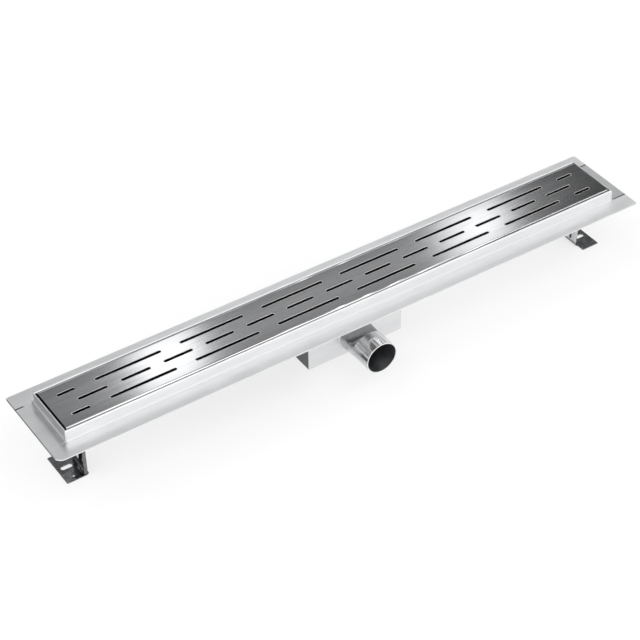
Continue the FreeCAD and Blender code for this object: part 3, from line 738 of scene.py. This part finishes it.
# lighter upright of the right foot only: painted light
uprightLook = {"place": (0.3, 0.31), "level": (0.003, 0.007), "patches": (0.45, 1.0),
               "colour": (0.66, 0.664, 0.67)}
footSteel = steelMaterial("footSteel", {**footLook, "upright": uprightLook})
dress(["foot_bracket_left", "foot_bracket_right", "foot_hanger_left", "foot_hanger_right"], footSteel)
fastenerLook = {
    "stroke": 0.004, "width": 0.0004, "cloudSize": 0.006,
    "dark": (0.55, 0.55, 0.56), "light": (0.7, 0.7, 0.7), "bare": (0.8, 0.8, 0.8), "scratches": 0.5,
    "roughness": (0.24, 0.36), "grainRelief": 0.3, "speckRelief": 0.3, "reliefDepth": 0.000008,
    "edgeRadius": 0.00025,
}
fastenerSteel = steelMaterial("fastenerSteel", fastenerLook)
boltShape = {
    "height": 26.0, "flats": 10.0, "headStart": 326.8, "headLength": 4.0, "shankEnd": 312.2, "radius": 3.0,
    "threadDepth": 0.35, "threadPlay": 0.02, "threadChamfer": 0.8, "threadSides": 24, "pitch": 1.0,
    "nutStart": 321.2, "nutLength": 5.0, "nutBore": 3.05, "chamferShare": 0.97,
    "washerRadius": 6.0, "washerBore": 3.3, "washerThickness": 1.2, "washerRims": (0.15, 0.2),
    "washerPlaces": (325.6, 321.2), "chamferAngle": 30,
    "hexPoints": 72, "washerPoints": 48, "stepsPerPitch": 8,
}


def atBothFeet(patches):
    # the right foot's pieces, and the same turned half round about Z for the left foot
    turned = [{**patch, "points": patch["points"] * (-1, -1, 1)} for patch in patches]
    return patches + turned


def hexPatch(shape, x0, length, bore, chamferEnds):
    # hexagonal prism along X with chamfered ends: r(a) = (flats / 2) / cos(a), a within 30 degrees of a flat
    flats, height = shape["flats"], shape["height"]
    angle = np.linspace(0, fullTurn, shape["hexPoints"], endpoint=False)
    fromFlat = (angle + math.pi / 6) % (math.pi / 3) - math.pi / 6
    hexagon = flats / 2 / np.cos(fromFlat)
    ring = np.full_like(angle, flats / 2 * shape["chamferShare"])
    cut = (hexagon - ring) * math.tan(math.radians(shape["chamferAngle"]))
    x1 = x0 + length
    sign = math.copysign(1, length)
    startCut, endCut = (cut * sign * chamfered for chamfered in chamferEnds)
    startRing = ring if chamferEnds[0] else hexagon
    hole = np.full_like(angle, max(bore, 1e-4))
    rings = [(x0, hole), (x0, startRing), (x0 + startCut, hexagon),
             (x1 - endCut, hexagon), (x1, ring), (x1, hole)]
    rows = [np.stack([np.broadcast_to(x, angle.shape), r * np.cos(angle), height + r * np.sin(angle)], -1)
            for x, r in rings]
    return gridPatch(np.array(rows), bore > 0, True, False)


def threadPatch(shape):
    # screw thread: r = radius - depth w, w being a triangle wave of x / pitch - a / (2 pi), faded at the end
    x = np.arange(shape["shankEnd"], shape["headStart"] + 1e-6, shape["pitch"] / shape["stepsPerPitch"])
    sides, middle = shape["threadSides"], (0, 0, shape["height"])
    angle = np.linspace(0, fullTurn, sides, endpoint=False)
    phase = (x[:, None] / shape["pitch"] - angle[None, :] / fullTurn) % 1
    wave = np.abs(2 * phase - 1)
    faded = 1 - np.clip((x - shape["shankEnd"]) / shape["threadChamfer"], 0, 1)[:, None]
    r = (shape["radius"] - shape["threadPlay"]) - shape["threadDepth"] * np.maximum(wave, faded)
    points = np.stack([np.repeat(x[:, None], sides, 1), r * np.cos(angle),
                       shape["height"] + r * np.sin(angle)], -1)
    closed = [points[:1] * (1, 0, 0) + middle, points, points[-1:] * (1, 0, 0) + middle]
    return gridPatch(np.concatenate(closed), False, True)


def washerPatch(x, shape):
    # flat ring with lightly rounded rims, its section turned about the bolt's axis
    r0, r1, thick = shape["washerBore"], shape["washerRadius"], shape["washerThickness"]
    inner, outer = shape["washerRims"]
    section = [(r0, inner), (r0 + inner, 0), (r1 - outer, 0), (r1, outer), (r1, thick - outer),
               (r1 - outer, thick), (r0 + inner, thick), (r0, thick - inner)]
    angle = np.linspace(0, fullTurn, shape["washerPoints"], endpoint=False)
    rows = [np.stack([np.full_like(angle, x + depth), r * np.cos(angle),
                      shape["height"] + r * np.sin(angle)], -1)
            for r, depth in section]
    return gridPatch(np.array(rows), True, True, False)


def makeFasteners(shape):
    head = hexPatch(shape, shape["headStart"], shape["headLength"], 0, (False, True))
    nut = hexPatch(shape, shape["nutStart"], -shape["nutLength"], shape["nutBore"], (True, True))
    washers = [washerPatch(x, shape) for x in shape["washerPlaces"]]
    kinds = (("footBolts", [head, threadPatch(shape)], "foot_bolts"), ("footNuts", [nut], "foot_nuts"),
             ("footWashers", washers, "foot_washers"))
    for name, patches, replaced in kinds:
        makePiece(name, atBothFeet(patches), [fastenerSteel], [replaced])


makeFasteners(boltShape)

print("welds")
weldLook = {
    "stroke": 0.002, "width": 0.0006, "cloudSize": 0.006,
    "dark": (0.6, 0.595, 0.59), "light": (0.8, 0.8, 0.8), "bare": (0.9, 0.9, 0.9), "scratches": 0.4,
    "roughness": (0.3, 0.45), "grainRelief": 0.3, "speckRelief": 0.5, "reliefDepth": 0.00001,
    "edgeRadius": 0.0002,
}
weldSteel = steelMaterial("weldSteel", weldLook)
weldShape = {
    "trapHalf": 60.5, "trapFront": 30.0, "trapTop": 54.0, "trapLow": 15.5, "rippleStep": 1.6,
    "outletCentre": 38.5, "outletHalf": 20.5, "outletFlat": 4.5, "outletPower": 14.0, "outletGap": 0.1,
    "outletRadii": (0.8, 0.8), "outletRipples": 80, "outletDepth": 0.2, "outletSteps": 480,
    "beadRadii": (0.8, 0.6), "beadDepth": 0.18, "cornerRadii": (0.4, 0.4), "cornerDepth": 0.12,
    "cornerInset": 0.25,
}


def straightPath(start, end, step):
    start, end = np.array(start, float), np.array(end, float)
    count = max(int(np.linalg.norm(end - start) / step), 2)
    return start + (end - start) * np.linspace(0, 1, count + 1)[:, None]


def beadsAlong(paths, radii, depth):
    # one open bead on each path
    return [beadPatch(path, radii, len(path) / pointsPerRipple, depth, False) for path in paths]


def makeWelds(shape):
    # round the outlet: r(a) = (R^-p + (h / sin a)^-p)^(-1/p), as the tube's section there
    half, front, step = shape["trapHalf"], shape["trapFront"], shape["rippleStep"] / pointsPerRipple
    top, low = shape["trapTop"], shape["trapLow"]
    paths = [straightPath((-half, side * front, top), (half, side * front, top), step) for side in (-1, 1)]
    paths += [straightPath((side * half, -front, top), (side * half, front, top), step) for side in (-1, 1)]
    patches = beadsAlong(paths, shape["beadRadii"], shape["beadDepth"])
    x, y = half - shape["cornerInset"], front - shape["cornerInset"]
    corners = [straightPath((sx * x, sy * y, low), (sx * x, sy * y, top), step)
               for sx in (-1, 1) for sy in (-1, 1)]
    patches += beadsAlong(corners, shape["cornerRadii"], shape["cornerDepth"])
    angle = np.linspace(0, fullTurn, shape["outletSteps"], endpoint=False)
    capped = shape["outletFlat"] / np.maximum(np.sin(angle), 1e-3)
    power = shape["outletPower"]
    ring = (shape["outletHalf"] ** -power + capped ** -power) ** (-1 / power)
    around = np.stack([ring * np.cos(angle), np.full_like(angle, -front - shape["outletGap"]),
                       shape["outletCentre"] + ring * np.sin(angle)], -1)
    patches.append(beadPatch(around, shape["outletRadii"], shape["outletRipples"],
                             shape["outletDepth"], True))
    makePiece("trapWelds", patches, [weldSteel])


makeWelds(weldShape)

rimWeldShape = {
    "cornerX": 349.65, "cornerY": 34.65, "cornerLow": 70.9, "cornerHigh": 83.5, "cornerRadii": (0.8, 0.8),
    "seamStart": 350.0, "seamPlace": 34.8, "seamHigh": 70.44, "seamLow": 69.36, "seamRadii": (0.5, 0.1),
    "filledEnd": 370.8, "openStarts": {(-1, 1): 361.0, (1, -1): 353.0, (1, 1): 357.5},
    "rippleStep": 2.4, "depth": 0.05,
}


def makeRimWelds(shape):
    # dressed beads down the rim's corners and flat ones in the end flanges' seams, whole at the
    # rounded corner only
    step, depth = shape["rippleStep"] / pointsPerRipple, shape["depth"]
    patches = []
    for sx in (-1, 1):
        for sy in (-1, 1):
            x, y = sx * shape["cornerX"], sy * shape["cornerY"]
            corner = straightPath((x, y, shape["cornerLow"]), (x, y, shape["cornerHigh"]), step)
            end = shape["openStarts"].get((sx, sy), shape["filledEnd"])
            seams = [straightPath((sx * shape["seamStart"], sy * shape["seamPlace"], z),
                                  (sx * end, sy * shape["seamPlace"], z), step)
                     for z in (shape["seamHigh"], shape["seamLow"])]
            patches += beadsAlong([corner], shape["cornerRadii"], depth)
            patches += beadsAlong(seams, shape["seamRadii"], depth)
    makePiece("rimWelds", patches, [sheetSteel])


makeRimWelds(rimWeldShape)

hangerWeldShape = {
    "start": (308.4, 12.1, 59.0), "end": (318.5, 12.1, 59.2), "radii": (0.8, 0.7), "rippleStep": 1.6,
    "depth": 0.18,
}


def makeHangerWelds(shape):
    # a bead along both edges of each hanger's top
    step, start, end = shape["rippleStep"] / pointsPerRipple, np.array(shape["start"]), np.array(shape["end"])
    signs = [(turn, side, 1) for turn in (-1, 1) for side in (-1, 1)]
    paths = [straightPath(start * sign, end * sign, step) for sign in signs]
    patches = beadsAlong(paths, shape["radii"], shape["depth"])
    makePiece("hangerWelds", patches, [weldSteel])


makeHangerWelds(hangerWeldShape)

print("rubber and moulded parts")
rubberLook = {
    "cloudSize": 0.01, "dark": (0.012, 0.012, 0.013), "light": (0.03, 0.03, 0.031), "roughness": (0.6, 0.8),
    "reliefDepth": 0.00002, "edgeRadius": 0.0003, "shine": 0.35,
}
rubber = plasticMaterial("rubber", rubberLook)
dress(["trap_gasket"] + [name for name in nodes if name.startswith("bridge_shoe")], rubber)
trapLook = {
    "cloudSize": 0.02, "dark": (0.035, 0.036, 0.038), "light": (0.05, 0.051, 0.053),
    "roughness": (0.42, 0.55), "reliefDepth": 0.000012, "edgeRadius": 0.0004, "shine": 0.5,
}
trapPlastic = plasticMaterial("trapPlastic", trapLook)
dress(["trap_insert"], trapPlastic)
strainerLook = {
    "cloudSize": 0.02, "dark": (0.03, 0.03, 0.031), "light": (0.05, 0.05, 0.052), "roughness": (0.4, 0.55),
    "reliefDepth": 0.00001, "edgeRadius": 0.0003, "shine": 0.5,
}
strainerPlastic = plasticMaterial("strainerPlastic", strainerLook)
dress(["hair_strainer"], strainerPlastic)

print("floor, world and lamps")
floorLook = {
    "halfSize": 4.0,
    "albedo": (0.4, 0.4, 0.4), "glow": 0.64,
    "seenAlbedo": (0.3, 0.3, 0.3), "seenGlow": 0.66,
}


def makeFloor(look):
    # a lit sheet at z = 0, corners at plus and minus the half size, that glows as a light table does
    half = look["halfSize"]
    corners = np.array([(-half, -half, 0), (half, -half, 0), (half, half, 0), (-half, half, 0)], float)
    mesh = bpy.data.meshes.new("floor")
    mesh.from_pydata(corners.tolist(), [], [(0, 1, 2, 3)])
    floor = bpy.data.objects.new("floor", mesh)
    bpy.context.scene.collection.objects.link(floor)
    material = bpy.data.materials.new("floor")
    material.use_nodes = True
    tree = material.node_tree
    tree.nodes.remove(tree.nodes["Principled BSDF"])
    seen = tree.nodes.new("ShaderNodeLightPath").outputs["Is Camera Ray"]
    diffuse = tree.nodes.new("ShaderNodeBsdfDiffuse")
    tree.links.new(mixColours(tree, seen, look["albedo"], look["seenAlbedo"]), diffuse.inputs["Color"])
    glow = tree.nodes.new("ShaderNodeEmission")
    tree.links.new(mixValues(tree, seen, look["glow"], look["seenGlow"]), glow.inputs["Strength"])
    both = tree.nodes.new("ShaderNodeAddShader")
    tree.links.new(diffuse.outputs[0], both.inputs[0])
    tree.links.new(glow.outputs[0], both.inputs[1])
    tree.links.new(both.outputs[0], tree.nodes["Material Output"].inputs["Surface"])
    mesh.materials.append(material)


makeFloor(floorLook)

worldLook = {
    "stripePlace": 0.3455, "stripePitch": 0.1535, "stripeEdge": (0.66, 0.86), "stripeStrength": 2.2,
    "middleSky": 0.55, "farSky": 0.12, "farFade": (0.5, 0.56), "nearSky": 0.12, "nearFade": (0.32, 0.2),
    "stripeFade": (0.2, 0.28), "farStrip": (0.488, 0.505), "farShare": 0.9,
    "gapPlace": 0.432, "gapFade": (0.045, 0.066),
    "frontSky": (1.66, 1.4), "frontChange": (0.3, 0.42), "frontFade": (-0.05, -0.35),
    "nearGlow": 0.6, "nearRise": (-0.08, 0.0), "nearFall": (0.15, 0.06),
    "edgeGlow": 0.45, "edgeRise": (-0.06, -0.12), "edgeFall": (-0.36, -0.3), "edgeLevel": (0.5, 0.7),
    "outerSky": 0.55, "outerLeft": (-0.5, -0.62), "outerRight": (0.61, 0.71), "lowFade": (0.48, 0.3),
}


def makeWorld(look):
    # a white surround for the camera; for the rest a dim dome crossed by bright strips, set by the
    # direction's share along X: a strip stands where the cosine of its phase passes the edge values
    world = bpy.data.worlds.new("studio")
    bpy.context.scene.world = world
    world.use_nodes = True
    tree = world.node_tree
    background = tree.nodes["Background"]
    background.inputs["Color"].default_value = (1, 1, 1, 1)
    direction = tree.nodes.new("ShaderNodeTexCoord").outputs["Generated"]
    along, across, upward = splitAxes(tree, direction)
    past = mathNode(tree, "SUBTRACT", along, look["stripePlace"])
    phase = product(tree, past, fullTurn / look["stripePitch"])
    wave = mathNode(tree, "COSINE", phase)
    strips = product(tree, spread(tree, wave, *look["stripeEdge"]), look["stripeStrength"])
    strips = product(tree, strips, spread(tree, along, *look["stripeFade"]))
    farShare = mixValues(tree, spread(tree, along, *look["farStrip"]), 1.0, look["farShare"])
    strips = product(tree, strips, farShare)
    strips = product(tree, strips, spread(tree, offFrom(tree, along, look["gapPlace"]), *look["gapFade"]))
    nearStrip = product(tree, spread(tree, along, *look["nearRise"]), spread(tree, along, *look["nearFall"]))
    strips = mathNode(tree, "ADD", strips, product(tree, nearStrip, look["nearGlow"]))
    dome = mixValues(tree, spread(tree, along, *look["farFade"]), look["middleSky"], look["farSky"])
    dome = mixValues(tree, spread(tree, along, *look["nearFade"]), dome, look["nearSky"])
    behind = mathNode(tree, "ADD", strips, dome)
    front = mixValues(tree, spread(tree, along, *look["frontChange"]), *look["frontSky"])
    sky = mixValues(tree, spread(tree, across, *look["frontFade"]), behind, front)
    edge = product(tree, spread(tree, across, *look["edgeRise"]), spread(tree, across, *look["edgeFall"]))
    edge = product(tree, edge, spread(tree, upward, *look["edgeLevel"]))
    sky = mathNode(tree, "ADD", sky, product(tree, edge, look["edgeGlow"]))
    left, right = (spread(tree, along, *look[side]) for side in ("outerLeft", "outerRight"))
    low = spread(tree, upward, *look["lowFade"])
    outer = mathNode(tree, "MAXIMUM", mathNode(tree, "ADD", left, right), low)
    sky = mathNode(tree, "MAXIMUM", sky, product(tree, outer, look["outerSky"]))
    path = tree.nodes.new("ShaderNodeLightPath")
    level = mixValues(tree, path.outputs["Is Camera Ray"], sky, 1.0)
    tree.links.new(level, background.inputs["Strength"])


makeWorld(worldLook)

lampLooks = [
    {"name": "leftSun", "from": (-0.75, -0.1, 0.65), "softness": 40, "strength": 0.3, "mirrored": True},
    {"name": "backSun", "from": (-0.38, 0.42, 0.82), "softness": 50, "strength": 0.8, "mirrored": False},
]


def makeLamp(look):
    data = bpy.data.lights.new(look["name"], "SUN")
    data.angle = math.radians(look["softness"])
    data.energy = look["strength"]
    lamp = bpy.data.objects.new(look["name"], data)
    lamp.rotation_euler = (-Vector(look["from"])).to_track_quat("-Z", "Y").to_euler()
    lamp.visible_glossy = look["mirrored"]
    bpy.context.scene.collection.objects.link(lamp)


for lampLook in lampLooks:
    makeLamp(lampLook)

cardLook = {"low": (-0.2, -0.05), "high": (-0.0625, 0.14), "height": 0.002, "colour": (0.14, 0.14, 0.14)}


def makeCard(look):
    # a dark card on the floor under the channel, standing in for the shade there, that only mirror
    # reflections see, so that the trap's end stays dark
    (x0, y0), (x1, y1), z = look["low"], look["high"], look["height"]
    mesh = bpy.data.meshes.new("blackCard")
    mesh.from_pydata([(x0, y0, z), (x1, y0, z), (x1, y1, z), (x0, y1, z)], [], [(0, 1, 2, 3)])
    card = bpy.data.objects.new("blackCard", mesh)
    bpy.context.scene.collection.objects.link(card)
    material = bpy.data.materials.new("blackCard")
    material.use_nodes = True
    material.node_tree.nodes["Principled BSDF"].inputs["Base Color"].default_value = (*look["colour"], 1)
    mesh.materials.append(material)
    card.visible_camera = False
    card.visible_diffuse = False
    card.visible_transmission = False
    card.visible_shadow = False


makeCard(cardLook)

bpy.context.scene.view_settings.view_transform = "Standard"

print("done")
